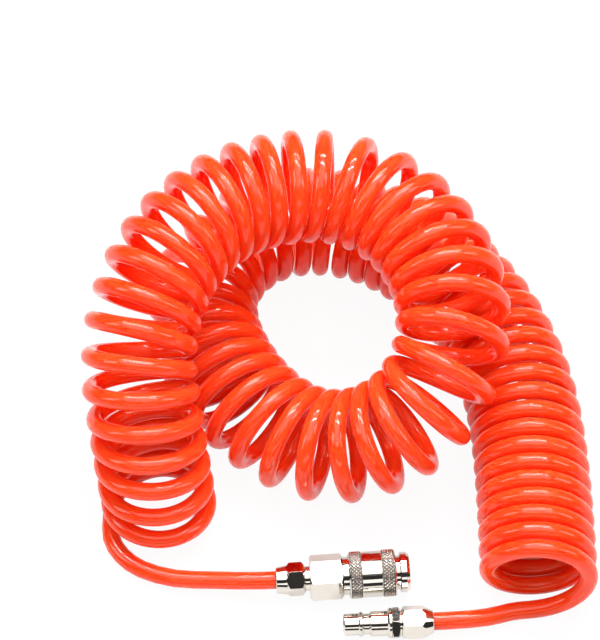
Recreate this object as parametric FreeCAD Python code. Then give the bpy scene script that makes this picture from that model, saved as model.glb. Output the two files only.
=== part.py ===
import FreeCAD, Part
import math
import os

V = FreeCAD.Vector
X = V(1, 0, 0)
Z = V(0, 0, 1)

# Coiled air hose with a quick coupler socket on one end and the matching plug on the other.
# Millimetres. +Z is up, z = 0 is the floor it lies on, and +X runs to the right as seen from the front.
# The places below are measured from near the ring's middle, and the part's own origin is under
# the middle of the whole object's box, at CENTRE.
CENTRE = (-0.79, -10.65)

# The hose: polyurethane tube, 8 mm outside and 5 mm inside, wound to the left.
TUBE_OD = 8.0
TUBE_BORE = 5.0
COIL_OD = 52.0
FLAT_DEPTH = 0.5
WIND_R = (COIL_OD - TUBE_OD) / 2
LYING = COIL_OD / 2 - FLAT_DEPTH
TUBE_LYING = TUBE_OD / 2 - FLAT_DEPTH
START_TURN = 0.0
END_TURN = 69.09
ARCS_PER_TURN = 4
COIL_STRAIGHT = 3.0

# The route, the tails' points and the fittings' places were read for an 8 mm hose, and a thicker
# hose lies in as much larger a ring.
LIE_TUBE_OD = 8.0
LIE = TUBE_OD / LIE_TUBE_OD

# The coil is drawn in eight stretches, which meet face to face after these whole turns.
STRETCHES = (
    ("coil_left_column", 9),
    ("coil_upper_left", 18),
    ("coil_upper_right", 26),
    ("coil_front_arc", 34),
    ("coil_lower_left", 42),
    ("coil_lower_back", 50),
    ("coil_lower_right", 59),
    ("coil_right_column", END_TURN),
)

# The coil's axis, read off the photograph: x, y, height above where a lying coil's axis is,
# and the turns wound so far.
ROUTE = (
    (-82, -64, -22, 0.0),
    (-82, -63, -11, 0.9),
    (-83, -60, -1, 1.9),
    (-84, -56, 10, 2.8),
    (-86, -46, 27, 4.6),
    (-89, -31, 42, 6.3),
    (-88, -11, 54, 8.1),
    (-80, 14, 62, 10.3),
    (-64.5, 37.5, 63, 12.65),
    (-42, 54.5, 61, 15.0),
    (-12, 63, 57, 17.7),
    (13, 59, 54, 19.35),
    (34, 43.5, 52, 21.2),
    (48, 19, 50, 23.55),
    (51.5, -7.5, 46, 25.65),
    (45.5, -29, 36, 27.05),
    (31, -42.5, 21, 28.65),
    (8.5, -47, 7, 30.6),
    (-16, -41.5, 0, 32.3),
    (-37.5, -26.5, 0, 34.25),
    (-53, -6, 0, 36.55),
    (-63.5, 18, 0, 38.95),
    (-65.5, 44.5, 0, 40.5),
    (-48, 71.5, 0, 42.45),
    (-21.5, 83, 0, 44.2),
    (9.5, 79.5, 0, 46.6),
    (35, 65.5, 0, 49.1),
    (56, 45, 0, 51.9),
    (72.5, 18, 0, 55.0),
    (82.5, -13, 0, 58.25),
    (86, -45, 0, 61.55),
    (87, -81, 0, 65.75),
    (87, -104, 0, 68.4),
    (87, -108.5, 0, 68.88),
    (87, -119, 0, 69.4),
)
ROUTE_STEPS = 60

# The tails leave their fittings and the coil in straight runs, and bend at these points.
FITTING_RUN = 8.0
PLUG_FITTING_RUN = 8.0
SOCKET_COIL_RUN = 11.0
PLUG_COIL_RUN = 7.0
SOCKET_TAIL = ((-55.5, -100.3, 6.6), (-74, -99.3, 4.8), (-90, -93.7, 3.6), (-98.5, -87, 3.5))
PLUG_TAIL = ((66, -117.6, 4.6),)
SAMPLE_STEP = 0.5
FLOOR_BOX = 1000.0

# Small turned edges, and what the turning leaves round a hexagon's corners.
EDGE = 0.3
BEVEL_RATIO = 0.7
BEVEL_DEPTH = 0.15
CORNER_SLACK = 0.1

# What each fitting does with the hose: the nut's back face is u = 0, and u runs into the fitting.
NUT_ENTRY_R = TUBE_OD / 2 + 0.1
NUT_CAVITY_R = 5.2
NUT_THREAD_R = 5.55
NUT_FRONT_EDGE = 1.5
RING_START = 1.8
RING_END = 6.0
RING_R = 5.1
RING_LEAD = 0.8
NECK_R = 5.5
POCKET_R = TUBE_OD / 2 + 0.1
TUBE_END = 12.3
SPIGOT_START = 3.5
SPIGOT_BORE_R = 1.6
SPIGOT_LEAD = 0.5

# The socket lies on its sleeve. s = 0 is its tube nut's back face, and s runs to its mouth.
SOCKET_BACK = (-28.5, -102.4)
SOCKET_TURN = 4.3
SLEEVE_R = 10.5
SOCKET_NUT_LEN = 13.0
SOCKET_NUT_AF = 13.0
SOCKET_NUT_BACK_R = 5.8
SOCKET_NUT_TAPER = 5.0
SOCKET_NUT_SHOULDER = 1.3
SOCKET_NUT_ROLL = 28.0
ADAPTER_AF = 18.0
ADAPTER_HEX_START = 15.0
ADAPTER_HEX_END = 29.9
ADAPTER_ROLL = 46.0
ADAPTER_FRONT = 32.5
ADAPTER_COLLAR_R = 8.5
ADAPTER_THREAD_R = 7.05
ADAPTER_SHOULDER = 20.0
ADAPTER_BORE_R = 2.6
GASKET_INNER_R = 5.2
GASKET_THICK = 1.2
BODY_THREAD_R = 7.0
BODY_REAR_R = 7.3
BODY_STEP = 45.0
BODY_FRONT_R = 8.38
BODY_NECK_START = 52.6
BODY_NECK_R = 7.6
FLANGE_START = 55.2
FLANGE_R = 9.0
FLANGE_BACK_EDGE = 0.4
FLANGE_FRONT_EDGE = 1.0
FLANGE_FRONT_LEN = 1.4
SOCKET_LEN = 59.4
MOUTH_R = 5.6
MOUTH_LEAD = 0.8
MOUTH_WALL_START = 52.5
MOUTH_RELIEF_R = 5.8
MOUTH_RELIEF_START = 47.6
MOUTH_RELIEF_STEP = 0.2
MOUTH_END = 46.8
NOSE_BORE_R = 4.85
NOSE_BORE_START = 46.0
NOSE_STOP = 39.6
SEAT_BORE_R = 3.9
SEAT_FACE = 36.5
CHAMBER_R = 5.6
SEAL_GROOVE_START = 42.8
SEAL_GROOVE_LEN = 1.6
SEAL_GROOVE_R = 6.2
SEAL_SECTION_R = 0.7

# The sleeve slides back 2.4 mm along the socket, and lets the balls out by 0.4 mm for each millimetre.
SLEEVE_BACK = 32.5
SLEEVE_FRONT = 53.4
SLEEVE_PLAIN_R = 10.2
SLEEVE_BAND_1 = 38.4
SLEEVE_BAND_2 = 46.9
SLEEVE_EDGE = 0.6
SLEEVE_POCKET_R = 9.2
SLEEVE_RIB_BACK = 43.0
SLEEVE_RIB_R = BODY_REAR_R + 0.07
SLEEVE_STOP_GAP = 0.05
LAND_R = BODY_FRONT_R + 0.07
BALL_RATIO = 0.4
BALL_D = 3.5
BALL_COUNT = 4
BALL_PLACE = 50.3
BALL_IN = 4.9
BALL_SEAT_R = 1.65
BALL_SEAT_DEPTH = 6.5
BALL_HOLE_R = BALL_D / 2 + 0.05
BALL_FIRST = 45.0
RAMP_LEAD = 0.35
SLEEVE_SPRING_R = 8.25
SLEEVE_SPRING_WIRE = 1.2
SLEEVE_SPRING_TURNS = 4.5
SPRING_GAP = 0.06

# The valve poppet closes the socket while no plug is in, and slides back 2.6 mm when one is.
POPPET_EDGE = 0.4
POPPET_FRONT = 42.5
POPPET_TUBE_R = 3.85
POPPET_TUBE_BORE_R = 2.9
POPPET_HEAD_R = 5.25
POPPET_HEAD_FRONT = 35.2
POPPET_HEAD_BACK = 33.4
POPPET_STUB_R = 2.4
POPPET_STUB_END = 29.5
POPPET_WINDOW_START = 35.9
POPPET_WINDOW_END = 39.0
POPPET_WINDOW_WIDTH = 3.0
VALVE_SEAL_GAP = 0.05
VALVE_SEAL_R = 5.2
VALVE_SPRING_R = 3.5
VALVE_SPRING_WIRE = 0.8
VALVE_SPRING_TURNS = 8

# The plug lies on one corner of each hexagon. p = 0 is its nose's tip, and p runs towards the hose.
PLUG_TIP = (1.5, -122.5)
PLUG_TURN = 2.5
PLUG_AF = 13.0
PLUG_LIFT = 0.56
PLUG_LYING = PLUG_AF / 2 + PLUG_LIFT
PLUG_ROLL = 8.5
PLUG_NOSE_R = 4.8
PLUG_NOSE_LEAD = 0.6
PLUG_NOSE_LEN = 6.7
PLUG_RIDGE_R = 5.4
PLUG_RIDGE_START = 7.2
PLUG_RIDGE_END = 8.2
PLUG_GROOVE_R = 4.55
PLUG_GROOVE_START = 9.1
PLUG_GROOVE_END = 11.3
PLUG_BARREL_R = 5.5
PLUG_BARREL_START = 12.2
PLUG_COLLAR_START = 19.5
PLUG_COLLAR_R = 6.7
PLUG_COLLAR_EDGE = 0.8
PLUG_HEX_START = 21.2
PLUG_HEX_END = 25.0
PLUG_NOSE_BORE_R = 3.5
PLUG_NOSE_BORE_LEN = 9.0
PLUG_THROAT = 11.0
PLUG_NUT_GAP = 0.65
PLUG_NUT_LEN = 14.15
PLUG_NUT_BACK_R = 5.1
PLUG_NUT_TAPER = 3.6
PLUG_NUT_SHOULDER = 1.9
PLUG_NUT_ROLL = 10.0
PLUG_LEN = PLUG_HEX_END + PLUG_NUT_GAP + PLUG_NUT_LEN


# The coil's axis is a smooth curve drawn by its route: the curve of degree two that starts at the
# first row, ends at the last and is touched halfway along each side between the others.
def route_point(rows, place):
    last = len(rows) - 2
    part = min(int(place), last - 1)
    a, b, c = rows[part], rows[part + 1], rows[part + 2]
    start = a if part == 0 else [(p + q) / 2 for p, q in zip(a, b)]
    end = c if part == last - 1 else [(p + q) / 2 for p, q in zip(b, c)]
    f = place - part
    return [(1 - f) ** 2 * p + 2 * f * (1 - f) * q + f * f * r for p, q, r in zip(start, b, end)]


def axis_table():
    count = (len(ROUTE) - 2) * ROUTE_STEPS
    table = []
    for i in range(count + 1):
        x, y, lift, turns = route_point(ROUTE, i / ROUTE_STEPS)
        table.append([turns, V(x * LIE, y * LIE, LYING + lift * LIE)])
    side = X
    for i, row in enumerate(table):
        along = (table[min(i + 1, count)][1] - table[max(i - 1, 0)][1]).normalize()
        side = (side - along * side.dot(along)).normalize()
        row.append(side)
        row.append(along.cross(side))
    return table


AXIS = axis_table()


def coil_point(turn):
    low, high = 0, len(AXIS) - 1
    while high - low > 1:
        middle = (low + high) // 2
        if AXIS[middle][0] <= turn:
            low = middle
        else:
            high = middle
    a, b = AXIS[low], AXIS[high]
    f = (turn - a[0]) / (b[0] - a[0])
    centre = a[1] * (1 - f) + b[1] * f
    side = a[2] * (1 - f) + b[2] * f
    other = a[3] * (1 - f) + b[3] * f
    angle = math.pi - 2 * math.pi * turn
    return centre + (side * math.cos(angle) + other * math.sin(angle)) * WIND_R


def heading(curve, turn, low, high):
    a = max(turn - 0.004, low)
    b = min(turn + 0.004, high)
    return (curve(b) - curve(a)).normalize()


def tangent_arc(start, corner, end):
    half = (end - start).Length / 2
    middle = (start + end) / 2
    turn = (corner - start).getAngle(end - start)
    bulge = half * math.tan(turn / 2)
    top = middle + (corner - middle).normalize() * bulge
    return Part.Arc(start, top, end).toShape(), half / math.sin(turn)


# Two arcs that leave p along s, arrive at q along t and meet smoothly.
def two_arcs(p, s, q, t):
    chord = q - p
    both = s + t
    spread = 2 * (1 - s.dot(t))
    along = chord.dot(both)
    reach = (math.sqrt(along * along + spread * chord.dot(chord)) - along) / spread
    first = p + s * reach
    second = q - t * reach
    meeting = (first + second) / 2
    return [tangent_arc(p, first, meeting), tangent_arc(meeting, second, q)]


def curl(curve, first, last, low, high):
    count = max(1, int(math.ceil((last - first) * ARCS_PER_TURN - 1e-6)))
    edges = []
    tightest = 1e9
    for i in range(count):
        a = first + (last - first) * i / count
        b = first + (last - first) * (i + 1) / count
        arcs = two_arcs(curve(a), heading(curve, a, low, high), curve(b), heading(curve, b, low, high))
        for edge, radius in arcs:
            edges.append(edge)
            tightest = min(tightest, radius)
    return edges, tightest


def ring(centre, axis, radius):
    return Part.Wire([Part.Circle(centre, axis, radius).toShape()])


def ends(path):
    first, last = path.Edges[0], path.Edges[-1]
    a, b = first.FirstParameter, last.LastParameter
    return (first.valueAt(a), first.tangentAt(a)), (last.valueAt(b), last.tangentAt(b))


def swept_tube(path, outer, inner):
    start, end = ends(path)
    faces = []
    for radius in (outer, inner):
        faces += path.makePipeShell([ring(start[0], start[1], radius)], False, False).Faces
    for point, along in (start, end):
        rims = [ring(point, along, outer), ring(point, along, inner)]
        faces.append(Part.makeFace(rims, "Part::FaceMakerBullseye"))
    shell = Part.makeShell(faces)
    shell.sewShape()
    solid = Part.makeSolid(shell)
    if solid.Volume < 0:
        solid.reverse()
    return solid


def swept_wire(path, radius):
    start, _ = ends(path)
    return path.makePipeShell([ring(start[0], start[1], radius)], True, False)


# A tail's route: straight runs joined by arcs that touch both runs.
def rounded_path(points):
    edges = []
    radii = []
    here = points[0]
    for i in range(1, len(points) - 1):
        before, corner, after = points[i - 1], points[i], points[i + 1]
        run_in, run_out = corner - before, after - corner
        turn = run_in.getAngle(run_out)
        reach = 0.45 * min(run_in.Length, run_out.Length)
        start = corner - run_in.normalize() * reach
        end = corner + run_out.normalize() * reach
        edges.append(Part.LineSegment(here, start).toShape())
        edges.append(tangent_arc(start, corner, end)[0])
        radii.append(reach / math.tan(turn / 2))
        here = end
    edges.append(Part.LineSegment(here, points[-1]).toShape())
    return Part.Wire(edges), radii


def turned(profile):
    points = [V(along, radius, 0) for along, radius in profile]
    outline = Part.makePolygon(points + [points[0]])
    return Part.Face(outline).revolve(V(0, 0, 0), X, 360)


def pipe(start, end, outer, inner):
    return turned(((start, inner), (start, outer), (end, outer), (end, inner)))


# A hexagonal bar along X. Its first corner stands at this roll from the side, turning upwards.
def hexagon(start, end, across_flats, roll):
    corner_r = across_flats / math.sqrt(3)
    corners = []
    for i in range(7):
        angle = math.radians(roll + 60 * i)
        corners.append(V(start, -corner_r * math.cos(angle), corner_r * math.sin(angle)))
    return Part.Face(Part.makePolygon(corners)).extrude(V(end - start, 0, 0))


# A hexagonal bar with its corners turned off at both ends.
def bevelled_hexagon(start, end, across_flats, roll):
    corner_r = across_flats / math.sqrt(3) + CORNER_SLACK
    drop = corner_r - across_flats / 2 + BEVEL_DEPTH
    lead = drop * BEVEL_RATIO
    cone = turned(
        (
            (start, 0),
            (start, corner_r - drop),
            (start + lead, corner_r),
            (end - lead, corner_r),
            (end, corner_r - drop),
            (end, 0),
        )
    )
    return hexagon(start, end, across_flats, roll).common(cone)


# A hexagonal nut that tapers towards its back, in a long cone and a shorter, steeper shoulder.
def tube_nut(length, across_flats, back_r, taper, shoulder, roll):
    corner_r = across_flats / math.sqrt(3) + CORNER_SLACK
    outside = turned(
        (
            (0, 0),
            (0, back_r - EDGE),
            (EDGE, back_r),
            (taper, across_flats / 2 + CORNER_SLACK),
            (taper + shoulder, corner_r),
            (length - NUT_FRONT_EDGE, corner_r),
            (length, corner_r - NUT_FRONT_EDGE),
            (length, 0),
        )
    )
    hole = turned(
        (
            (-1, 0),
            (-1, NUT_ENTRY_R),
            (RING_START, NUT_ENTRY_R),
            (RING_START, NUT_CAVITY_R),
            (RING_END, NUT_CAVITY_R),
            (RING_END, NUT_THREAD_R),
            (length + 1, NUT_THREAD_R),
            (length + 1, 0),
        )
    )
    return hexagon(0, length, across_flats, roll).common(outside).cut(hole)


def gripping_ring():
    return turned(
        (
            (RING_START, TUBE_OD / 2),
            (RING_START, RING_R - RING_LEAD),
            (RING_START + RING_LEAD, RING_R),
            (RING_END, RING_R),
            (RING_END, TUBE_OD / 2),
        )
    )


# The neck that the nut screws on, with the spigot that the hose is pushed over.
def hose_neck(end):
    neck = pipe(RING_END, end, NECK_R, SPIGOT_BORE_R)
    pocket = pipe(RING_END - 1, TUBE_END, POCKET_R, TUBE_BORE / 2)
    spigot = turned(
        (
            (SPIGOT_START, SPIGOT_BORE_R),
            (SPIGOT_START, TUBE_BORE / 2 - SPIGOT_LEAD),
            (SPIGOT_START + SPIGOT_LEAD, TUBE_BORE / 2),
            (TUBE_END + 1, TUBE_BORE / 2),
            (TUBE_END + 1, SPIGOT_BORE_R),
        )
    )
    return neck.cut(pocket).fuse(spigot)


def spring(start, end, mean_r, wire, turns):
    rise = (end - start - wire - 2 * SPRING_GAP) / turns
    base = start + wire / 2 + SPRING_GAP

    def place(turn):
        angle = 2 * math.pi * turn
        return V(base + rise * turn, mean_r * math.cos(angle), mean_r * math.sin(angle))

    edges, _ = curl(place, 0, turns, 0, turns)
    return swept_wire(Part.Wire(edges), wire / 2)


def laid(place, height, turn):
    point = V(place[0] * LIE, place[1] * LIE, height)
    return FreeCAD.Placement(point, FreeCAD.Rotation(Z, turn))


SOCKET = laid(SOCKET_BACK, SLEEVE_R, SOCKET_TURN)
PLUG = laid(PLUG_TIP, PLUG_LYING, PLUG_TURN)
PLUG_BACKWARDS = PLUG.multiply(FreeCAD.Placement(V(PLUG_LEN, 0, 0), FreeCAD.Rotation(Z, 180)))


def placed(shape, placement):
    copy = shape.copy()
    copy.Placement = placement.multiply(copy.Placement)
    return copy


def adapter():
    front = ADAPTER_FRONT
    shape = hose_neck(ADAPTER_HEX_START)
    block = bevelled_hexagon(ADAPTER_HEX_START, ADAPTER_HEX_END, ADAPTER_AF, ADAPTER_ROLL)
    shape = shape.fuse(block).fuse(pipe(ADAPTER_HEX_END, front, ADAPTER_COLLAR_R, ADAPTER_THREAD_R))
    way = turned(
        (
            (ADAPTER_HEX_START - 3, 0),
            (ADAPTER_HEX_START - 3, SPIGOT_BORE_R),
            (ADAPTER_HEX_START, SPIGOT_BORE_R),
            (ADAPTER_HEX_START + 1, ADAPTER_BORE_R),
            (ADAPTER_SHOULDER, ADAPTER_BORE_R),
            (ADAPTER_SHOULDER, ADAPTER_THREAD_R),
            (front + 1, ADAPTER_THREAD_R),
            (front + 1, 0),
        )
    )
    return shape.cut(way).removeSplitter()


def socket_body():
    rear = ADAPTER_SHOULDER + GASKET_THICK
    body = turned(
        (
            (rear, CHAMBER_R),
            (rear, BODY_THREAD_R),
            (ADAPTER_FRONT, BODY_THREAD_R),
            (ADAPTER_FRONT, BODY_REAR_R),
            (BODY_STEP, BODY_REAR_R),
            (BODY_STEP, BODY_FRONT_R),
            (BODY_NECK_START, BODY_FRONT_R),
            (BODY_NECK_START + EDGE, BODY_NECK_R),
            (FLANGE_START, BODY_NECK_R),
            (FLANGE_START, FLANGE_R - FLANGE_BACK_EDGE),
            (FLANGE_START + FLANGE_BACK_EDGE, FLANGE_R),
            (SOCKET_LEN - FLANGE_FRONT_LEN, FLANGE_R),
            (SOCKET_LEN, FLANGE_R - FLANGE_FRONT_EDGE),
            (SOCKET_LEN, MOUTH_R + MOUTH_LEAD),
            (SOCKET_LEN - MOUTH_LEAD, MOUTH_R),
            (MOUTH_WALL_START, MOUTH_R),
            (MOUTH_WALL_START - MOUTH_RELIEF_STEP, MOUTH_RELIEF_R),
            (MOUTH_RELIEF_START, MOUTH_RELIEF_R),
            (MOUTH_RELIEF_START - MOUTH_RELIEF_STEP, MOUTH_R),
            (MOUTH_END, MOUTH_R),
            (NOSE_BORE_START, NOSE_BORE_R),
            (SEAL_GROOVE_START + SEAL_GROOVE_LEN, NOSE_BORE_R),
            (SEAL_GROOVE_START + SEAL_GROOVE_LEN, SEAL_GROOVE_R),
            (SEAL_GROOVE_START, SEAL_GROOVE_R),
            (SEAL_GROOVE_START, NOSE_BORE_R),
            (NOSE_STOP, NOSE_BORE_R),
            (NOSE_STOP, SEAT_BORE_R),
            (SEAT_FACE, SEAT_BORE_R),
            (SEAT_FACE, CHAMBER_R),
        )
    )
    holes = []
    for i in range(BALL_COUNT):
        profile = (
            (0, 0),
            (BALL_SEAT_R, 0),
            (BALL_SEAT_R, MOUTH_R),
            (BALL_HOLE_R, BALL_SEAT_DEPTH),
            (BALL_HOLE_R, BODY_FRONT_R + 1),
            (0, BODY_FRONT_R + 1),
        )
        points = [V(radius, 0, out) for radius, out in profile]
        hole = Part.Face(Part.makePolygon(points + [points[0]])).revolve(V(0, 0, 0), Z, 360)
        hole.translate(V(BALL_PLACE, 0, 0))
        hole.rotate(V(0, 0, 0), X, BALL_FIRST + 360 * i / BALL_COUNT)
        holes.append(hole)
    return body.cut(holes)


def sleeve():
    rib_front = BODY_STEP - SLEEVE_STOP_GAP
    ramp = BALL_PLACE - RAMP_LEAD
    front_r = LAND_R + BALL_RATIO * (SLEEVE_FRONT - ramp)
    return turned(
        (
            (SLEEVE_BACK, SLEEVE_POCKET_R),
            (SLEEVE_BACK, SLEEVE_R - SLEEVE_EDGE),
            (SLEEVE_BACK + SLEEVE_EDGE, SLEEVE_R),
            (SLEEVE_BAND_1 - EDGE, SLEEVE_R),
            (SLEEVE_BAND_1, SLEEVE_PLAIN_R),
            (SLEEVE_BAND_2, SLEEVE_PLAIN_R),
            (SLEEVE_BAND_2 + EDGE, SLEEVE_R),
            (SLEEVE_FRONT - SLEEVE_EDGE, SLEEVE_R),
            (SLEEVE_FRONT, SLEEVE_R - SLEEVE_EDGE),
            (SLEEVE_FRONT, front_r),
            (ramp, LAND_R),
            (rib_front, LAND_R),
            (rib_front, SLEEVE_RIB_R),
            (SLEEVE_RIB_BACK, SLEEVE_RIB_R),
            (SLEEVE_RIB_BACK, SLEEVE_POCKET_R),
        )
    )


def locking_ball(number):
    ball = Part.makeSphere(BALL_D / 2, V(BALL_PLACE, 0, BALL_IN + BALL_D / 2))
    ball.rotate(V(0, 0, 0), X, BALL_FIRST + 360 * number / BALL_COUNT)
    return ball


def poppet():
    shape = turned(
        (
            (POPPET_STUB_END, 0),
            (POPPET_STUB_END, POPPET_STUB_R - POPPET_EDGE),
            (POPPET_STUB_END + POPPET_EDGE, POPPET_STUB_R),
            (POPPET_HEAD_BACK, POPPET_STUB_R),
            (POPPET_HEAD_BACK, POPPET_HEAD_R),
            (POPPET_HEAD_FRONT, POPPET_HEAD_R),
            (POPPET_HEAD_FRONT, POPPET_TUBE_R),
            (POPPET_FRONT - POPPET_EDGE, POPPET_TUBE_R),
            (POPPET_FRONT, POPPET_TUBE_R - POPPET_EDGE),
            (POPPET_FRONT, POPPET_TUBE_BORE_R),
            (POPPET_WINDOW_START, POPPET_TUBE_BORE_R),
            (POPPET_WINDOW_START, 0),
        )
    )
    reach = 2 * POPPET_HEAD_R
    long = POPPET_WINDOW_END - POPPET_WINDOW_START
    half = POPPET_WINDOW_WIDTH / 2
    window = Part.makeBox(long, reach, 2 * half, V(POPPET_WINDOW_START, -reach / 2, -half))
    crossed = window.copy()
    crossed.rotate(V(0, 0, 0), X, 90)
    return shape.cut([window, crossed])


def valve_seal():
    front = SEAT_FACE - VALVE_SEAL_GAP
    return pipe(POPPET_HEAD_FRONT, front, VALVE_SEAL_R, POPPET_TUBE_R).cut(poppet())


def nose_seal():
    middle = SEAL_GROOVE_START + SEAL_GROOVE_LEN / 2
    return Part.makeTorus(SEAL_GROOVE_R - SEAL_SECTION_R, SEAL_SECTION_R, V(middle, 0, 0), X)


def plug_body():
    neck_end = PLUG_LEN - RING_END
    body = turned(
        (
            (0, PLUG_NOSE_BORE_R),
            (0, PLUG_NOSE_R - PLUG_NOSE_LEAD),
            (PLUG_NOSE_LEAD, PLUG_NOSE_R),
            (PLUG_NOSE_LEN, PLUG_NOSE_R),
            (PLUG_RIDGE_START, PLUG_RIDGE_R),
            (PLUG_RIDGE_END, PLUG_RIDGE_R),
            (PLUG_GROOVE_START, PLUG_GROOVE_R),
            (PLUG_GROOVE_END, PLUG_GROOVE_R),
            (PLUG_BARREL_START, PLUG_BARREL_R),
            (PLUG_COLLAR_START, PLUG_BARREL_R),
            (PLUG_COLLAR_START, PLUG_COLLAR_R - PLUG_COLLAR_EDGE),
            (PLUG_COLLAR_START + PLUG_COLLAR_EDGE, PLUG_COLLAR_R),
            (PLUG_HEX_START, PLUG_COLLAR_R),
            (PLUG_HEX_START, SPIGOT_BORE_R),
            (PLUG_THROAT, SPIGOT_BORE_R),
            (PLUG_NOSE_BORE_LEN, PLUG_NOSE_BORE_R),
        )
    )
    neck = placed(hose_neck(PLUG_LEN - PLUG_HEX_END), PLUG.inverse().multiply(PLUG_BACKWARDS))
    block = bevelled_hexagon(PLUG_HEX_START, PLUG_HEX_END, PLUG_AF, PLUG_ROLL)
    way = turned(
        (
            (PLUG_HEX_START - 1, 0),
            (PLUG_HEX_START - 1, SPIGOT_BORE_R),
            (neck_end, SPIGOT_BORE_R),
            (neck_end, 0),
        )
    )
    return body.fuse([block, neck]).cut(way).removeSplitter()


def on_axis(placement, along, outwards):
    return placement.multVec(V(along, 0, 0)), placement.Rotation.multVec(V(outwards, 0, 0))


def lying_points(rows):
    return [V(x, y, z) * LIE for x, y, z in rows]


def socket_tail():
    inside, out = on_axis(SOCKET, TUBE_END, -1)
    arriving = heading(coil_point, START_TURN, START_TURN, END_TURN)
    meeting = coil_point(START_TURN) - arriving * COIL_STRAIGHT
    last = meeting - arriving * SOCKET_COIL_RUN
    last.z = TUBE_LYING
    near = inside + out * (TUBE_END + FITTING_RUN)
    return [inside, near] + lying_points(SOCKET_TAIL) + [last, meeting]


def plug_tail():
    inside, out = on_axis(PLUG_BACKWARDS, TUBE_END, -1)
    leaving = heading(coil_point, END_TURN, START_TURN, END_TURN)
    meeting = coil_point(END_TURN) + leaving * COIL_STRAIGHT
    first = meeting + leaving * PLUG_COIL_RUN
    near = inside + out * (TUBE_END + PLUG_FITTING_RUN)
    return [meeting, first] + lying_points(PLUG_TAIL) + [near, inside]


def above_floor(shape):
    if shape.BoundBox.ZMin >= 0:
        return shape
    corner = V(-FLOOR_BOX / 2, -FLOOR_BOX / 2, 0)
    return shape.common(Part.makeBox(FLOOR_BOX, FLOOR_BOX, FLOOR_BOX, corner))


def coil_stretches():
    shapes = {}
    paths = []
    tightest = 1e9
    first = START_TURN
    for name, last in STRETCHES:
        edges, radius = curl(coil_point, first, last, START_TURN, END_TURN)
        tightest = min(tightest, radius)
        if first == START_TURN:
            here = coil_point(first)
            back = here - heading(coil_point, first, START_TURN, END_TURN) * COIL_STRAIGHT
            edges.insert(0, Part.LineSegment(back, here).toShape())
        if last == END_TURN:
            here = coil_point(last)
            on = here + heading(coil_point, last, START_TURN, END_TURN) * COIL_STRAIGHT
            edges.append(Part.LineSegment(here, on).toShape())
        path = Part.Wire(edges)
        shapes[name] = above_floor(swept_tube(path, TUBE_OD / 2, TUBE_BORE / 2))
        paths.append(path)
        first = last
    print("tightest curl radius", round(tightest, 2))
    return shapes, paths


# The least gap between turns, from points along the paths.
def least_gap(paths):
    points = []
    travelled = []
    length = 0
    for path in paths:
        row = path.discretize(Number=int(path.Length / SAMPLE_STEP) + 1)
        for i, point in enumerate(row):
            if i:
                length += (point - row[i - 1]).Length
            points.append(point)
            travelled.append(length)
    cell = TUBE_OD + 2
    grid = {}
    for i, point in enumerate(points):
        key = (int(point.x // cell), int(point.y // cell), int(point.z // cell))
        grid.setdefault(key, []).append(i)
    best = (1e9, 0)
    for (i, j, k), members in grid.items():
        near = []
        for a in (i - 1, i, i + 1):
            for b in (j - 1, j, j + 1):
                for c in (k - 1, k, k + 1):
                    near += grid.get((a, b, c), [])
        for one in members:
            p = points[one]
            for other in near:
                if travelled[other] - travelled[one] > 4 * TUBE_OD:
                    gap = p.distanceToPoint(points[other]) - TUBE_OD
                    if gap < best[0]:
                        best = (gap, one)
    return best[0], length, travelled[best[1]]


def tail(name, points):
    path, radii = rounded_path(points)
    shape = swept_tube(path, TUBE_OD / 2, TUBE_BORE / 2)
    section = math.pi * (TUBE_OD ** 2 - TUBE_BORE ** 2) / 4
    print(name, "length", round(path.Length, 1), "radii", [round(r, 1) for r in radii])
    print(name, "volume over section times length", round(shape.Volume / (section * path.Length), 4))
    return above_floor(shape)


def hose():
    shapes, paths = coil_stretches()
    gap, length, place = least_gap(paths)
    print("hose wound in the coil", round(length, 1), "least gap", round(gap, 3), "at", round(place))
    shapes["hose_tail_socket_side"] = tail("socket tail", socket_tail())
    shapes["hose_tail_plug_side"] = tail("plug tail", plug_tail())
    return shapes


def socket():
    gasket_end = ADAPTER_SHOULDER + GASKET_THICK
    shapes = {
        "socket_tube_nut": tube_nut(
            SOCKET_NUT_LEN,
            SOCKET_NUT_AF,
            SOCKET_NUT_BACK_R,
            SOCKET_NUT_TAPER,
            SOCKET_NUT_SHOULDER,
            SOCKET_NUT_ROLL,
        ),
        "socket_gripping_ring": gripping_ring(),
        "socket_adapter": adapter(),
        "socket_gasket": pipe(ADAPTER_SHOULDER, gasket_end, BODY_THREAD_R, GASKET_INNER_R),
        "socket_body": socket_body(),
        "socket_sleeve": sleeve(),
        "sleeve_spring": spring(
            ADAPTER_FRONT,
            SLEEVE_RIB_BACK,
            SLEEVE_SPRING_R,
            SLEEVE_SPRING_WIRE,
            SLEEVE_SPRING_TURNS,
        ),
        "valve_poppet": poppet(),
        "valve_seal": valve_seal(),
        "valve_spring": spring(
            ADAPTER_SHOULDER,
            POPPET_HEAD_BACK,
            VALVE_SPRING_R,
            VALVE_SPRING_WIRE,
            VALVE_SPRING_TURNS,
        ),
        "nose_seal": nose_seal(),
    }
    for i in range(BALL_COUNT):
        shapes["locking_ball_" + str(i + 1)] = locking_ball(i)
    return {node: placed(shape, SOCKET) for node, shape in shapes.items()}


def plug():
    nut = tube_nut(
        PLUG_NUT_LEN,
        PLUG_AF,
        PLUG_NUT_BACK_R,
        PLUG_NUT_TAPER,
        PLUG_NUT_SHOULDER,
        PLUG_NUT_ROLL,
    )
    return {
        "plug_body": placed(plug_body(), PLUG),
        "plug_tube_nut": placed(nut, PLUG_BACKWARDS),
        "plug_gripping_ring": placed(gripping_ring(), PLUG_BACKWARDS),
    }


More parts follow.
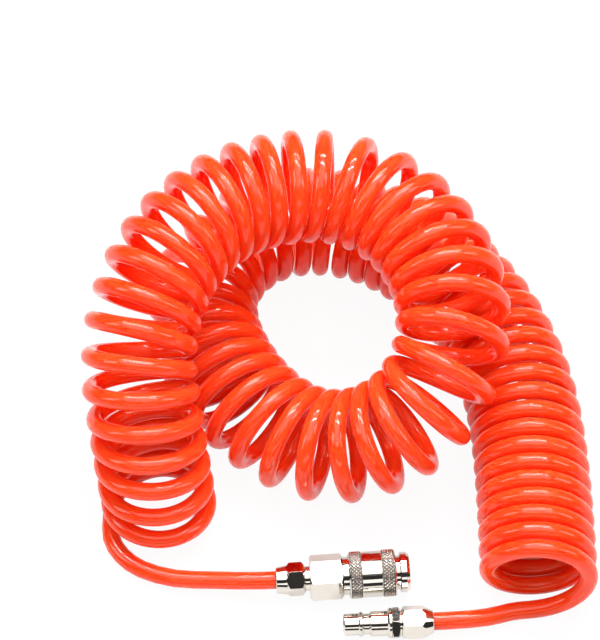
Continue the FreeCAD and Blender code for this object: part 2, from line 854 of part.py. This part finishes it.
for turn in (START_TURN, END_TURN):
    print("coil end", turn, coil_point(turn), heading(coil_point, turn, START_TURN, END_TURN))
os.makedirs("parts", exist_ok=True)
for node, shape in {**hose(), **socket(), **plug()}.items():
    shape.translate(V(-CENTRE[0] * LIE, -CENTRE[1] * LIE, 0))
    if not shape.isValid() or len(shape.Solids) != 1:
        print("CHECK", node, "valid", shape.isValid(), "solids", len(shape.Solids))
    lowest = shape.optimalBoundingBox(True, False).ZMin
    print(node, "volume", round(shape.Volume, 1), "lowest", round(lowest, 3))
    shape.exportStep("parts/" + node + ".step")
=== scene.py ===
import math

import bmesh
import bpy
from mathutils import Matrix, Vector

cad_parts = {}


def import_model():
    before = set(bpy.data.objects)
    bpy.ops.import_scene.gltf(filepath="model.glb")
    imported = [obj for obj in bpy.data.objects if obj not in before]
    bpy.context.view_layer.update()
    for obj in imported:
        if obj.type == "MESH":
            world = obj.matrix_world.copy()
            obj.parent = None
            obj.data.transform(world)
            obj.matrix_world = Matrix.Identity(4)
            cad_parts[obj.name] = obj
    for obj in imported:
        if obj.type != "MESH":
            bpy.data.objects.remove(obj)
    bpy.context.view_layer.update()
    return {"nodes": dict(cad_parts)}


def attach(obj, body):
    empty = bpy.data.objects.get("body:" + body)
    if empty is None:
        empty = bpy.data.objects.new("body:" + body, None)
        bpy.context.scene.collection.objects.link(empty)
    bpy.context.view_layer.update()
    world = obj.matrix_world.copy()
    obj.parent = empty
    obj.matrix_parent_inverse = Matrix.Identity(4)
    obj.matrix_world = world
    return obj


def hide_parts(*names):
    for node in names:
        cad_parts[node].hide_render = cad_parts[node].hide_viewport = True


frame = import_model()
NODES = frame["nodes"]

# Metres, in the row frame. The places below are measured from near the ring's middle, and the
# frame's own origin is at CENTRE.
CENTRE = Vector((-0.00079, -0.01065, 0.0))
X = Vector((1.0, 0.0, 0.0))
Z = Vector((0.0, 0.0, 1.0))

# The hose.
TUBE_R = 0.004
BORE_R = 0.0025
BORE_DEPTH = 0.010
COIL_R = 0.026
FLAT_DEPTH = 0.0005
WIND_R = COIL_R - TUBE_R
LYING = COIL_R - FLAT_DEPTH
TUBE_LYING = TUBE_R - FLAT_DEPTH
END_TURN = 69.09
POINTS_PER_TURN = 24
RINGS_PER_POINT = 2
HOSE_SIDES = 24
COIL_STRAIGHT = 0.003
# The share of a turn over which the coil's heading at its ends is taken.
HEADING_STEP = 0.004

# The coil's axis: x, y, height above where a lying coil's axis is, and the turns wound so far.
ROUTE = (
    (-0.082, -0.064, -0.022, 0.0),
    (-0.082, -0.063, -0.011, 0.9),
    (-0.083, -0.06, -0.001, 1.9),
    (-0.084, -0.056, 0.01, 2.8),
    (-0.086, -0.046, 0.027, 4.6),
    (-0.089, -0.031, 0.042, 6.3),
    (-0.088, -0.011, 0.054, 8.1),
    (-0.08, 0.014, 0.062, 10.3),
    (-0.0645, 0.0375, 0.063, 12.65),
    (-0.042, 0.0545, 0.061, 15.0),
    (-0.012, 0.063, 0.057, 17.7),
    (0.013, 0.059, 0.054, 19.35),
    (0.034, 0.0435, 0.052, 21.2),
    (0.048, 0.019, 0.05, 23.55),
    (0.0515, -0.0075, 0.046, 25.65),
    (0.0455, -0.029, 0.036, 27.05),
    (0.031, -0.0425, 0.021, 28.65),
    (0.0085, -0.047, 0.007, 30.6),
    (-0.016, -0.0415, 0.0, 32.3),
    (-0.0375, -0.0265, 0.0, 34.25),
    (-0.053, -0.006, 0.0, 36.55),
    (-0.0635, 0.018, 0.0, 38.95),
    (-0.0655, 0.0445, 0.0, 40.5),
    (-0.048, 0.0715, 0.0, 42.45),
    (-0.0215, 0.083, 0.0, 44.2),
    (0.0095, 0.0795, 0.0, 46.6),
    (0.035, 0.0655, 0.0, 49.1),
    (0.056, 0.045, 0.0, 51.9),
    (0.0725, 0.018, 0.0, 55.0),
    (0.0825, -0.013, 0.0, 58.25),
    (0.086, -0.045, 0.0, 61.55),
    (0.087, -0.081, 0.0, 65.75),
    (0.087, -0.104, 0.0, 68.4),
    (0.087, -0.1085, 0.0, 68.88),
    (0.087, -0.119, 0.0, 69.4),
)
ROUTE_STEPS = 60

# The tails: their own points, and the straight runs at their fittings and at the coil.
FITTING_RUN = 0.008
PLUG_FITTING_RUN = 0.008
SOCKET_COIL_RUN = 0.011
PLUG_COIL_RUN = 0.007
TUBE_END = 0.0123
SOCKET_TAIL = (
    (-0.0555, -0.1003, 0.0066),
    (-0.074, -0.0993, 0.0048),
    (-0.090, -0.0937, 0.0036),
    (-0.0985, -0.087, 0.0035),
)
PLUG_TAIL = ((0.066, -0.1176, 0.0046),)

# The fittings: where their axes start, how high these lie, and how far they turn from +X.
SOCKET_BACK = (-0.0285, -0.1024)
SOCKET_HEIGHT = 0.0105
SOCKET_TURN = 4.3
PLUG_TIP = (0.0015, -0.1225)
PLUG_HEIGHT = 0.00706
PLUG_TURN = 2.5
PLUG_LEN = 0.0398

# The sleeve: stations are measured from the tube nut's back, and each profile is a list of
# station and radius.
SLEEVE_R = 0.0105
KNURL_COUNT = 40
KNURL_LOW_R = 0.01005
KNURL_TOP = 0.32
KNURL_BACK = (0.0331, 0.0381)
KNURL_FRONT = (0.0473, 0.0528)
SLEEVE_BACK = ((0.0325, 0.0099), (0.0331, 0.01045))
SLEEVE_MIDDLE = ((0.0381, 0.0104), (0.0383, 0.0102), (0.0470, 0.0102), (0.0472, 0.0104))
SLEEVE_FRONT = ((0.0528, 0.01045), (0.0534, 0.0099), (0.0534, 0.00985))
SLEEVE_INSIDE = (
    (0.0534, 0.00983),
    (0.04995, 0.00845),
    (0.04495, 0.00845),
    (0.04495, 0.00737),
    (0.0430, 0.00737),
    (0.0430, 0.0092),
    (0.0325, 0.0092),
)

# The metals: how dark the clouds in their colour are, how dark the painted shade in a
# knurl's grooves is, and how rough these grooves are.
CLOUD_DARK = 0.9
GROOVE_PAINTED_SHADE = 0.3
GROOVE_ROUGHNESS = 0.55

# The floor, a little below the hose, and how much of it shows as plain white to the camera and
# in reflections.
FLOOR_REACH = 12.0
FLOOR_DROP = 0.0002
WHITE_SEEN = 0.94
WHITE_MIRRORED = 0.62

# The lamps: name, place, width and height, and watts. All of them face AIM.
AIM = (0.0, 0.0, 0.03)
LAMPS = (
    ("overhead", (0.0, -0.05, 1.20), (1.3, 1.3), 10.6),
    ("near_strip", (0.05, 0.30, 1.12), (1.0, 0.10), 8.0),
    ("far_strip", (0.05, 0.62, 1.00), (1.0, 0.10), 7.0),
    ("left_box", (-1.2, -0.2, 0.95), (0.5, 0.8), 5.5),
    ("right_box", (1.2, -0.2, 0.95), (0.4, 0.8), 5.0),
    ("front_card", (0.0, -1.3, 0.62), (1.6, 0.30), 2.4),
)

# The camera stands as in the photograph. FOCAL_PIXELS is its lens in pixels of the picture.
CAMERA_ELEVATION = 58.0
CAMERA_DISTANCE = 1.15
CAMERA_LENS = 141.55
FOCAL_PIXELS = 2516.4
CAMERA_TARGET = Vector((0.0, 0.0, 0.040))
TARGET_PIXEL = (340.0, 350.0)
IMAGE_SIZE = (600, 640)


def row(point):
    return Vector(point) - CENTRE


# A smooth line with these control points, as a list of points.
def smooth_line(points, steps):
    curve = bpy.data.curves.new("line", "CURVE")
    curve.dimensions = "3D"
    curve.resolution_u = steps
    spline = curve.splines.new("NURBS")
    spline.points.add(len(points) - 1)
    for point, place in zip(spline.points, points):
        point.co = (place[0], place[1], place[2], 1.0)
    spline.order_u = 3
    spline.use_endpoint_u = True
    holder = bpy.data.objects.new("line", curve)
    bpy.context.scene.collection.objects.link(holder)
    bpy.context.view_layer.update()
    mesh = bpy.data.meshes.new_from_object(holder)
    line = [vertex.co.copy() for vertex in mesh.vertices]
    bpy.data.objects.remove(holder)
    bpy.data.curves.remove(curve)
    bpy.data.meshes.remove(mesh)
    return line


# The coil's axis as rows of the turns wound, the place, and two directions square to the axis.
def axis_rows():
    line = smooth_line([(x, y, LYING + lift) for x, y, lift, _ in ROUTE], ROUTE_STEPS)
    wound = smooth_line([(turns, 0.0, 0.0) for _, _, _, turns in ROUTE], ROUTE_STEPS)
    rows = []
    side = X
    last = len(line) - 1
    for i, place in enumerate(line):
        along = (line[min(i + 1, last)] - line[max(i - 1, 0)]).normalized()
        side = (side - along * side.dot(along)).normalized()
        rows.append((wound[i].x, place, side, along.cross(side)))
    return rows


AXIS = axis_rows()


def coil_point(turn, radius):
    low, high = 0, len(AXIS) - 1
    while high - low > 1:
        middle = (low + high) // 2
        if AXIS[middle][0] <= turn:
            low = middle
        else:
            high = middle
    a, b = AXIS[low], AXIS[high]
    f = (turn - a[0]) / (b[0] - a[0])
    centre, side, other = (p.lerp(q, f) for p, q in zip(a[1:], b[1:]))
    angle = math.pi - 2 * math.pi * turn
    return centre + (side * math.cos(angle) + other * math.sin(angle)) * radius


def direction(turn_degrees):
    angle = math.radians(turn_degrees)
    return Vector((math.cos(angle), math.sin(angle), 0.0))


# The hose's own line: the socket's tail, the coil's turns and the plug's tail.
def hose_line():
    first, end = coil_point(0.0, WIND_R), coil_point(END_TURN, WIND_R)
    arriving = (coil_point(HEADING_STEP, WIND_R) - first).normalized()
    leaving = (end - coil_point(END_TURN - HEADING_STEP, WIND_R)).normalized()
    along = direction(SOCKET_TURN)
    back = Vector((SOCKET_BACK[0], SOCKET_BACK[1], SOCKET_HEIGHT))
    meeting = first - arriving * COIL_STRAIGHT
    last = meeting - arriving * SOCKET_COIL_RUN
    last.z = TUBE_LYING
    points = [back + along * TUBE_END, back - along * FITTING_RUN]
    points += [Vector(point) for point in SOCKET_TAIL] + [last, meeting]
    count = round(END_TURN * POINTS_PER_TURN)
    # The line touches the sides between these points, so they stand a little outside it.
    radius = WIND_R / math.cos(math.pi / POINTS_PER_TURN)
    points += [coil_point(END_TURN * i / count, radius) for i in range(count + 1)]
    along = direction(PLUG_TURN)
    back = Vector((PLUG_TIP[0], PLUG_TIP[1], PLUG_HEIGHT)) + along * PLUG_LEN
    meeting = end + leaving * COIL_STRAIGHT
    points += [meeting, meeting + leaving * PLUG_COIL_RUN]
    points += [Vector(point) for point in PLUG_TAIL]
    points += [back + along * PLUG_FITTING_RUN, back - along * TUBE_END]
    return [row(point) for point in smooth_line(points, RINGS_PER_POINT)]


# Two directions square to a line at each of its points, which don't twist round it.
def frames(line):
    last = len(line) - 1
    side = Z
    rows = []
    for i in range(len(line)):
        along = (line[min(i + 1, last)] - line[max(i - 1, 0)]).normalized()
        side = (side - along * side.dot(along)).normalized()
        rows.append((along, side, along.cross(side)))
    return rows


def add_object(name, mesh):
    piece = bpy.data.objects.new(name, mesh)
    bpy.context.scene.collection.objects.link(piece)
    return piece


def shade_smooth(mesh):
    mesh.polygons.foreach_set("use_smooth", [True] * len(mesh.polygons))


def hose_mesh(line):
    axes = frames(line)
    points = []
    faces = []

    def add_ring(i, radius):
        _, side, other = axes[i]
        start = len(points)
        for k in range(HOSE_SIDES):
            angle = 2 * math.pi * k / HOSE_SIDES
            place = line[i] + (side * math.cos(angle) + other * math.sin(angle)) * radius
            points.append((place.x, place.y, max(place.z, 0.0)))
        return start

    def join(a, b):
        for k in range(HOSE_SIDES):
            n = (k + 1) % HOSE_SIDES
            faces.append((a + k, b + k, b + n, a + n))

    def inside(order):
        travelled = 0.0
        rings = []
        for here, following in zip(order, order[1:]):
            rings.append(here)
            travelled += (line[following] - line[here]).length
            if travelled > BORE_DEPTH:
                break
        return rings

    order = list(range(len(line)))
    deep_start = inside(order)[::-1]
    deep_end = inside(order[::-1])
    rings = [add_ring(i, BORE_R) for i in deep_start]
    rings += [add_ring(i, TUBE_R) for i in order]
    rings += [add_ring(i, BORE_R) for i in deep_end]
    for a, b in zip(rings, rings[1:]):
        join(a, b)
    faces.append(tuple(rings[0] + k for k in range(HOSE_SIDES)))
    faces.append(tuple(rings[-1] + k for k in reversed(range(HOSE_SIDES))))
    mesh = bpy.data.meshes.new("hose")
    mesh.from_pydata(points, [], faces)
    shade_smooth(mesh)
    return mesh


def new_material(name):
    material = bpy.data.materials.new(name)
    material.use_nodes = True
    nodes = material.node_tree.nodes
    return material, nodes, material.node_tree.links, nodes["Principled BSDF"]


def hose_material():
    material, nodes, links, shader = new_material("hose_polyurethane")
    place = nodes.new("ShaderNodeTexCoord")
    broad = nodes.new("ShaderNodeTexNoise")
    broad.inputs["Scale"].default_value = 38.0
    broad.inputs["Detail"].default_value = 3.0
    links.new(place.outputs["Object"], broad.inputs["Vector"])
    tint = nodes.new("ShaderNodeMix")
    tint.data_type = "RGBA"
    tint.inputs["A"].default_value = (1.0, 0.056, 0.010, 1.0)
    tint.inputs["B"].default_value = (1.0, 0.086, 0.016, 1.0)
    links.new(broad.outputs["Fac"], tint.inputs["Factor"])
    links.new(tint.outputs["Result"], shader.inputs["Base Color"])
    fine = nodes.new("ShaderNodeTexNoise")
    fine.inputs["Scale"].default_value = 700.0
    fine.inputs["Detail"].default_value = 4.0
    links.new(place.outputs["Object"], fine.inputs["Vector"])
    gloss = nodes.new("ShaderNodeMapRange")
    gloss.inputs["To Min"].default_value = 0.02
    gloss.inputs["To Max"].default_value = 0.07
    links.new(fine.outputs["Fac"], gloss.inputs["Value"])
    links.new(gloss.outputs["Result"], shader.inputs["Roughness"])
    bump = nodes.new("ShaderNodeBump")
    bump.inputs["Strength"].default_value = 0.05
    bump.inputs["Distance"].default_value = 0.0002
    links.new(fine.outputs["Fac"], bump.inputs["Height"])
    links.new(bump.outputs["Normal"], shader.inputs["Normal"])
    shader.inputs["IOR"].default_value = 1.45
    shader.inputs["Specular IOR Level"].default_value = 0.5
    shader.inputs["Subsurface Weight"].default_value = 0.9
    shader.inputs["Subsurface Radius"].default_value = (1.0, 0.06, 0.03)
    shader.inputs["Subsurface Scale"].default_value = 0.010
    return material


def metal_material(name, colour, rough_low, rough_high, edge, scratch_scale):
    material, nodes, links, shader = new_material(name)
    place = nodes.new("ShaderNodeTexCoord")
    cloud = nodes.new("ShaderNodeTexNoise")
    cloud.inputs["Scale"].default_value = 160.0
    cloud.inputs["Detail"].default_value = 5.0
    links.new(place.outputs["Object"], cloud.inputs["Vector"])
    tint = nodes.new("ShaderNodeMix")
    tint.data_type = "RGBA"
    tint.inputs["A"].default_value = tuple(CLOUD_DARK * c for c in colour) + (1.0,)
    tint.inputs["B"].default_value = tuple(colour) + (1.0,)
    links.new(cloud.outputs["Fac"], tint.inputs["Factor"])
    # A knurled mesh marks its grooves, which are duller than its tops and darkened by painted
    # shade.
    cut = nodes.new("ShaderNodeAttribute")
    cut.attribute_name = "cut"
    groove_painted_shade = nodes.new("ShaderNodeMix")
    groove_painted_shade.data_type = "RGBA"
    groove_painted_shade.inputs["B"].default_value = tuple(GROOVE_PAINTED_SHADE * c for c in colour) + (1.0,)
    links.new(cut.outputs["Fac"], groove_painted_shade.inputs["Factor"])
    links.new(tint.outputs["Result"], groove_painted_shade.inputs["A"])
    links.new(groove_painted_shade.outputs["Result"], shader.inputs["Base Color"])
    fine = nodes.new("ShaderNodeTexNoise")
    fine.inputs["Scale"].default_value = scratch_scale
    fine.inputs["Detail"].default_value = 6.0
    links.new(place.outputs["Object"], fine.inputs["Vector"])
    gloss = nodes.new("ShaderNodeMapRange")
    gloss.inputs["To Min"].default_value = rough_low
    gloss.inputs["To Max"].default_value = rough_high
    links.new(fine.outputs["Fac"], gloss.inputs["Value"])
    rough = nodes.new("ShaderNodeMix")
    rough.inputs["B"].default_value = GROOVE_ROUGHNESS
    links.new(cut.outputs["Fac"], rough.inputs["Factor"])
    links.new(gloss.outputs["Result"], rough.inputs["A"])
    links.new(rough.outputs["Result"], shader.inputs["Roughness"])
    rounding = nodes.new("ShaderNodeBevel")
    rounding.samples = 6
    rounding.inputs["Radius"].default_value = edge
    bump = nodes.new("ShaderNodeBump")
    bump.inputs["Strength"].default_value = 0.04
    bump.inputs["Distance"].default_value = 0.0001
    links.new(fine.outputs["Fac"], bump.inputs["Height"])
    links.new(rounding.outputs["Normal"], bump.inputs["Normal"])
    links.new(bump.outputs["Normal"], shader.inputs["Normal"])
    shader.inputs["Metallic"].default_value = 1.0
    return material


def rubber_material():
    material, nodes, links, shader = new_material("nitrile_rubber")
    fine = nodes.new("ShaderNodeTexNoise")
    fine.inputs["Scale"].default_value = 2500.0
    tint = nodes.new("ShaderNodeMix")
    tint.data_type = "RGBA"
    tint.inputs["A"].default_value = (0.018, 0.018, 0.019, 1.0)
    tint.inputs["B"].default_value = (0.045, 0.045, 0.046, 1.0)
    links.new(fine.outputs["Fac"], tint.inputs["Factor"])
    links.new(tint.outputs["Result"], shader.inputs["Base Color"])
    bump = nodes.new("ShaderNodeBump")
    bump.inputs["Strength"].default_value = 0.2
    bump.inputs["Distance"].default_value = 0.0001
    links.new(fine.outputs["Fac"], bump.inputs["Height"])
    links.new(bump.outputs["Normal"], shader.inputs["Normal"])
    shader.inputs["Roughness"].default_value = 0.55
    return material


HOSE = hose_material()
PLATED = metal_material("nickel_plate", (0.74, 0.69, 0.62), 0.05, 0.13, 0.00016, 1400.0)
STEEL = metal_material("plain_steel", (0.60, 0.60, 0.61), 0.16, 0.30, 0.00005, 2200.0)
BRASS = metal_material("turned_brass", (0.78, 0.57, 0.26), 0.12, 0.26, 0.0001, 1800.0)
RUBBER = rubber_material()


def dress(node, material):
    data = NODES[node].data
    data.materials.clear()
    data.materials.append(material)


for node in ("socket_tube_nut", "socket_adapter", "socket_body", "plug_body", "plug_tube_nut"):
    dress(node, PLATED)
for node in ("sleeve_spring", "valve_spring"):
    dress(node, STEEL)
for number in (1, 2, 3, 4):
    dress("locking_ball_" + str(number), STEEL)
for node in ("socket_gripping_ring", "plug_gripping_ring", "valve_poppet"):
    dress(node, BRASS)
for node in ("socket_gasket", "valve_seal", "nose_seal"):
    dress(node, RUBBER)


# The sleeve, turned about the socket's axis, with diamond pyramids on its two knurled bands.
def sleeve_mesh():
    along = direction(SOCKET_TURN)
    beside = along.cross(Z)
    start = row((SOCKET_BACK[0], SOCKET_BACK[1], SOCKET_HEIGHT))
    points = []
    faces = []
    deep = []
    count = 2 * KNURL_COUNT

    def add_point(station, radius, position):
        angle = 2 * math.pi * position / count
        outward = beside * math.cos(angle) + Z * math.sin(angle)
        points.append(start + along * station + outward * radius)
        return len(points) - 1

    def add_ring(station, radius):
        return [add_point(station, radius, k) for k in range(count)]

    def join(a, b):
        for k in range(count):
            n = (k + 1) % count
            faces.append((a[k], b[k], b[n], a[n]))

    def turned(profile):
        rings = [add_ring(station, radius) for station, radius in profile]
        for a, b in zip(rings, rings[1:]):
            join(a, b)
        return rings[0], rings[-1]

    # Rows of pyramids from one station to another, between two rings at the groove's radius.
    def knurled(begin, end):
        rows = 2 * round((end - begin) / (2 * math.pi * SLEEVE_R / count) / 2)
        step = (end - begin) / rows
        low = [[None] * count for _ in range(rows + 1)]
        for j in range(rows + 1):
            for k in range(count):
                if (k + j) % 2 == 0 or j in (0, rows):
                    low[j][k] = add_point(begin + step * j, KNURL_LOW_R, k)
                    deep.append(low[j][k])
        for j in range(rows + 1):
            for k in range(count):
                if (k + j) % 2 == 0:
                    continue
                n, m = (k + 1) % count, (k - 1) % count
                if j == 0:
                    faces.append((low[0][m], low[0][k], low[1][k]))
                    faces.append((low[0][k], low[0][n], low[1][k]))
                    continue
                if j == rows:
                    faces.append((low[j][k], low[j][m], low[j - 1][k]))
                    faces.append((low[j][n], low[j][k], low[j - 1][k]))
                    continue
                corners = (low[j][m], low[j - 1][k], low[j][n], low[j + 1][k])
                top = (
                    add_point(begin + step * j, SLEEVE_R, k - KNURL_TOP),
                    add_point(begin + step * (j - KNURL_TOP), SLEEVE_R, k),
                    add_point(begin + step * j, SLEEVE_R, k + KNURL_TOP),
                    add_point(begin + step * (j + KNURL_TOP), SLEEVE_R, k),
                )
                for a in range(4):
                    b = (a + 1) % 4
                    faces.append((corners[a], top[a], top[b], corners[b]))
                faces.append(top)
        return low[0], low[rows]

    inner = turned(SLEEVE_INSIDE)
    back = turned(SLEEVE_BACK)
    first = knurled(*KNURL_BACK)
    middle = turned(SLEEVE_MIDDLE)
    second = knurled(*KNURL_FRONT)
    front = turned(SLEEVE_FRONT)
    join(inner[1], back[0])
    join(back[1], first[0])
    join(first[1], middle[0])
    join(middle[1], second[0])
    join(second[1], front[0])
    join(front[1], inner[0])
    mesh = bpy.data.meshes.new("sleeve")
    mesh.from_pydata(points, [], faces)
    shape = bmesh.new()
    shape.from_mesh(mesh)
    bmesh.ops.recalc_face_normals(shape, faces=shape.faces)
    shape.to_mesh(mesh)
    shape.free()
    cut = mesh.attributes.new("cut", "FLOAT", "POINT")
    for i in deep:
        cut.data[i].value = 1.0
    return mesh


sleeve = add_object("sleeve", sleeve_mesh())
sleeve.data.materials.append(PLATED)
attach(sleeve, "sleeve")
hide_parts("socket_sleeve")

LINE = hose_line()
HOSE_LENGTH = sum((b - a).length for a, b in zip(LINE, LINE[1:]))
hose = add_object("hose", hose_mesh(LINE))
hose.data.materials.append(HOSE)
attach(hose, "hose")
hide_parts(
    "coil_left_column",
    "coil_upper_left",
    "coil_upper_right",
    "coil_front_arc",
    "coil_lower_left",
    "coil_lower_back",
    "coil_lower_right",
    "coil_right_column",
    "hose_tail_socket_side",
    "hose_tail_plug_side",
)
print("hose length", round(HOSE_LENGTH, 4))


# The stage: a wide pale floor.
def floor_material():
    material, nodes, links, shader = new_material("pale_floor")
    shader.inputs["Base Color"].default_value = (0.95, 0.95, 0.95, 1.0)
    shader.inputs["Roughness"].default_value = 0.7
    shader.inputs["Specular IOR Level"].default_value = 0.1
    path = nodes.new("ShaderNodeLightPath")
    mirrored = nodes.new("ShaderNodeMath")
    mirrored.operation = "MAXIMUM"
    links.new(path.outputs["Is Glossy Ray"], mirrored.inputs[0])
    links.new(path.outputs["Is Transmission Ray"], mirrored.inputs[1])
    part = nodes.new("ShaderNodeMath")
    part.operation = "MULTIPLY"
    part.inputs[1].default_value = WHITE_MIRRORED
    links.new(mirrored.outputs["Value"], part.inputs[0])
    seen = nodes.new("ShaderNodeMath")
    seen.operation = "MULTIPLY"
    seen.inputs[1].default_value = WHITE_SEEN
    links.new(path.outputs["Is Camera Ray"], seen.inputs[0])
    share = nodes.new("ShaderNodeMath")
    share.operation = "MAXIMUM"
    links.new(seen.outputs["Value"], share.inputs[0])
    links.new(part.outputs["Value"], share.inputs[1])
    white = nodes.new("ShaderNodeEmission")
    white.inputs["Color"].default_value = (1.0, 1.0, 1.0, 1.0)
    white.inputs["Strength"].default_value = 1.0
    mix = nodes.new("ShaderNodeMixShader")
    links.new(share.outputs["Value"], mix.inputs["Fac"])
    links.new(shader.outputs["BSDF"], mix.inputs[1])
    links.new(white.outputs["Emission"], mix.inputs[2])
    links.new(mix.outputs["Shader"], nodes["Material Output"].inputs["Surface"])
    return material


def floor():
    r = FLOOR_REACH
    mesh = bpy.data.meshes.new("floor")
    corners = [(-r, -r, 0), (r, -r, 0), (r, r, 0), (-r, r, 0)]
    mesh.from_pydata(corners, [], [(0, 1, 2, 3)])
    piece = add_object("floor", mesh)
    piece.location.z = -FLOOR_DROP
    mesh.materials.append(floor_material())


# The room is dark towards the horizon and pale overhead.
def world():
    background = bpy.data.worlds.new("studio")
    background.use_nodes = True
    bpy.context.scene.world = background
    nodes = background.node_tree.nodes
    links = background.node_tree.links
    place = nodes.new("ShaderNodeTexCoord")
    parts = nodes.new("ShaderNodeSeparateXYZ")
    links.new(place.outputs["Generated"], parts.inputs["Vector"])
    ramp = nodes.new("ShaderNodeValToRGB")
    ramp.color_ramp.elements[0].position = 0.80
    ramp.color_ramp.elements[0].color = (0.035, 0.035, 0.035, 1.0)
    ramp.color_ramp.elements[1].position = 0.95
    ramp.color_ramp.elements[1].color = (0.35, 0.35, 0.35, 1.0)
    links.new(parts.outputs["Z"], ramp.inputs["Fac"])
    links.new(ramp.outputs["Color"], nodes["Background"].inputs["Color"])
    nodes["Background"].inputs["Strength"].default_value = 1.0


def softbox(name, place, size, watts):
    lamp = bpy.data.lights.new(name, "AREA")
    lamp.shape = "RECTANGLE"
    lamp.size, lamp.size_y = size
    lamp.energy = watts
    holder = bpy.data.objects.new(name, lamp)
    bpy.context.scene.collection.objects.link(holder)
    holder.location = place
    holder.rotation_euler = (Vector(AIM) - Vector(place)).to_track_quat("-Z", "Y").to_euler()


def camera():
    scene = bpy.context.scene
    elevation = math.radians(CAMERA_ELEVATION)
    forward = Vector((0.0, math.cos(elevation), -math.sin(elevation)))
    up = Vector((0.0, math.sin(elevation), math.cos(elevation)))
    eye = row(CAMERA_TARGET) - forward * CAMERA_DISTANCE
    right_shift = (IMAGE_SIZE[0] / 2 - TARGET_PIXEL[0]) / FOCAL_PIXELS
    up_shift = (TARGET_PIXEL[1] - IMAGE_SIZE[1] / 2) / FOCAL_PIXELS
    aim = (forward + X * right_shift + up * up_shift).normalized()
    right = (X - aim * aim.dot(X)).normalized()
    turn = Matrix((right, (-aim).cross(right), -aim)).transposed().to_4x4()
    view = bpy.data.cameras.new("camera")
    view.sensor_width = 36.0
    view.lens = CAMERA_LENS
    view.clip_start = 0.01
    view.clip_end = 100.0
    holder = bpy.data.objects.new("camera", view)
    scene.collection.objects.link(holder)
    holder.matrix_world = Matrix.Translation(eye) @ turn
    scene.camera = holder


floor()
world()
for lamp_row in LAMPS:
    softbox(*lamp_row)
camera()
bpy.context.scene.view_settings.view_transform = "Standard"
